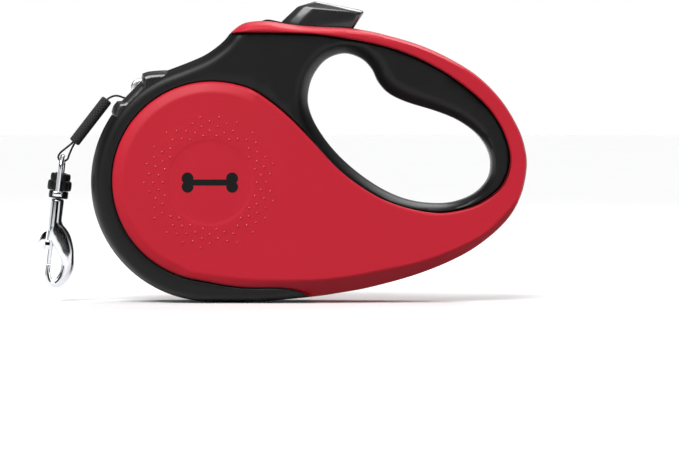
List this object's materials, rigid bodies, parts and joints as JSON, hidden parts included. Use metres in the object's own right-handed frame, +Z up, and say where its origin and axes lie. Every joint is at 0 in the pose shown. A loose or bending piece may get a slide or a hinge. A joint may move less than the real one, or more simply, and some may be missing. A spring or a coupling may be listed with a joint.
{
  "type": "retractable dog leash",
  "caption": "Retractable cord leash: round spring-reel housing with a closed handle ring, thumb brake, cord outlet and a short lead with a trigger snap hook.",
  "frame": {"origin": "on the ground under the middle of the housing, which stands on its foot pad, at the plane where the two halves meet", "axes": "+X from the cord outlet towards the end of the handle, +Y from the left side to the right side, +Z up"},
  "size_m": [0.1465, 0.03, 0.0899],
  "materials": {
    "black_plastic": "fine matt texture",
    "red_cover": "matt soft-touch",
    "black_rubber": "matt",
    "dark_gloss": "polished",
    "chrome": "bright plated",
    "steel": "plain",
    "nylon": "natural",
    "brass": "turned",
    "black_cord": "braided"
  },
  "bodies": {
    "housing": {"left_shell": "black_plastic", "right_shell": "black_plastic", "left_cover": "red_cover", "right_cover": "red_cover", "grip_liner": "black_rubber", "foot_pad": "black_rubber", "button_bezel": "black_plastic", "outlet_nozzle": "dark_gloss", "roller_pin": "steel", "housing_screws": "steel", "axle": "steel", "spring_arbor": "nylon", "thrust_washers": "steel", "inner_lead": "black_cord", "pawl_pin": "steel", "brake_spring": "steel"},
    "spool": {"reel": "nylon", "reel_flange": "nylon", "reel_bushing": "brass", "spring_cover": "nylon", "lead_winding": "black_cord", "mainspring": "steel"},
    "plunger": {"brake_plunger": "nylon"},
    "button": {"thumb_button": "dark_gloss"},
    "pawl": {"brake_pawl": "nylon"},
    "roller": {"guide_roller": "chrome"},
    "lead": {"lead_cord": "black_cord", "stop_sleeve": "black_cord"},
    "eye": {"swivel_eye": "chrome", "swivel_collar": "black_plastic"},
    "hook": {"hook_body": "chrome", "swivel_head": "black_plastic", "bolt_spring": "steel"},
    "bolt": {"hook_bolt": "chrome"}
  },
  "joints": [
    {"name": "reel_spin", "type": "hinge", "parent": "housing", "child": "spool", "pos_m": [-0.0292, 0, 0.036], "axis": [0, -1, 0], "range_deg": [0, 6840], "stiffness_Nm_per_rad": 0.0008, "springref_deg": -721.93, "deforming": ["mainspring"]},
    {"name": "brake_press", "type": "slide", "parent": "housing", "child": "plunger", "axis": [0, 0, -1], "range_m": [0, 0.0025], "stiffness_N_per_m": 800, "springref_m": -0.003, "deforming": ["brake_spring"]},
    {"name": "lock_slide", "type": "slide", "parent": "plunger", "child": "button", "axis": [-1, 0, 0], "range_m": [0, 0.0035]},
    {"name": "pawl_pivot", "type": "hinge", "parent": "housing", "child": "pawl", "pos_m": [-0.02228, 0, 0.0668], "axis": [0, 1, 0], "range_deg": [0, 10.5]},
    {"name": "roller_spin", "type": "hinge", "parent": "housing", "child": "roller", "pos_m": [-0.0504, 0, 0.064], "axis": [0, 1, 0], "continuous": true},
    {"name": "lead_swing", "type": "hinge", "parent": "housing", "child": "lead", "pos_m": [-0.0546, 0, 0.06095], "axis": [0, 1, 0], "range_deg": [-8, 90], "deforming": ["lead_cord"]},
    {"name": "hook_swing", "type": "hinge", "parent": "lead", "child": "eye", "pos_m": [-0.0736, 0, 0.0422], "axis": [1, 0, 0], "range_deg": [-35, 35]},
    {"name": "hook_swivel", "type": "hinge", "parent": "eye", "child": "hook", "pos_m": [-0.07505, 0, 0.0322], "axis": [0.1219, 0, 0.9925], "continuous": true},
    {"name": "bolt_slide", "type": "slide", "parent": "hook", "child": "bolt", "axis": [0.1219, 0, 0.9925], "range_m": [0, 0.0045], "stiffness_N_per_m": 100, "springref_m": -0.003, "deforming": ["bolt_spring"]}
  ],
  "couplings": [
    {"joint": "pawl_pivot", "follows": "brake_press", "rad_per_m": 70.02}
  ]
}
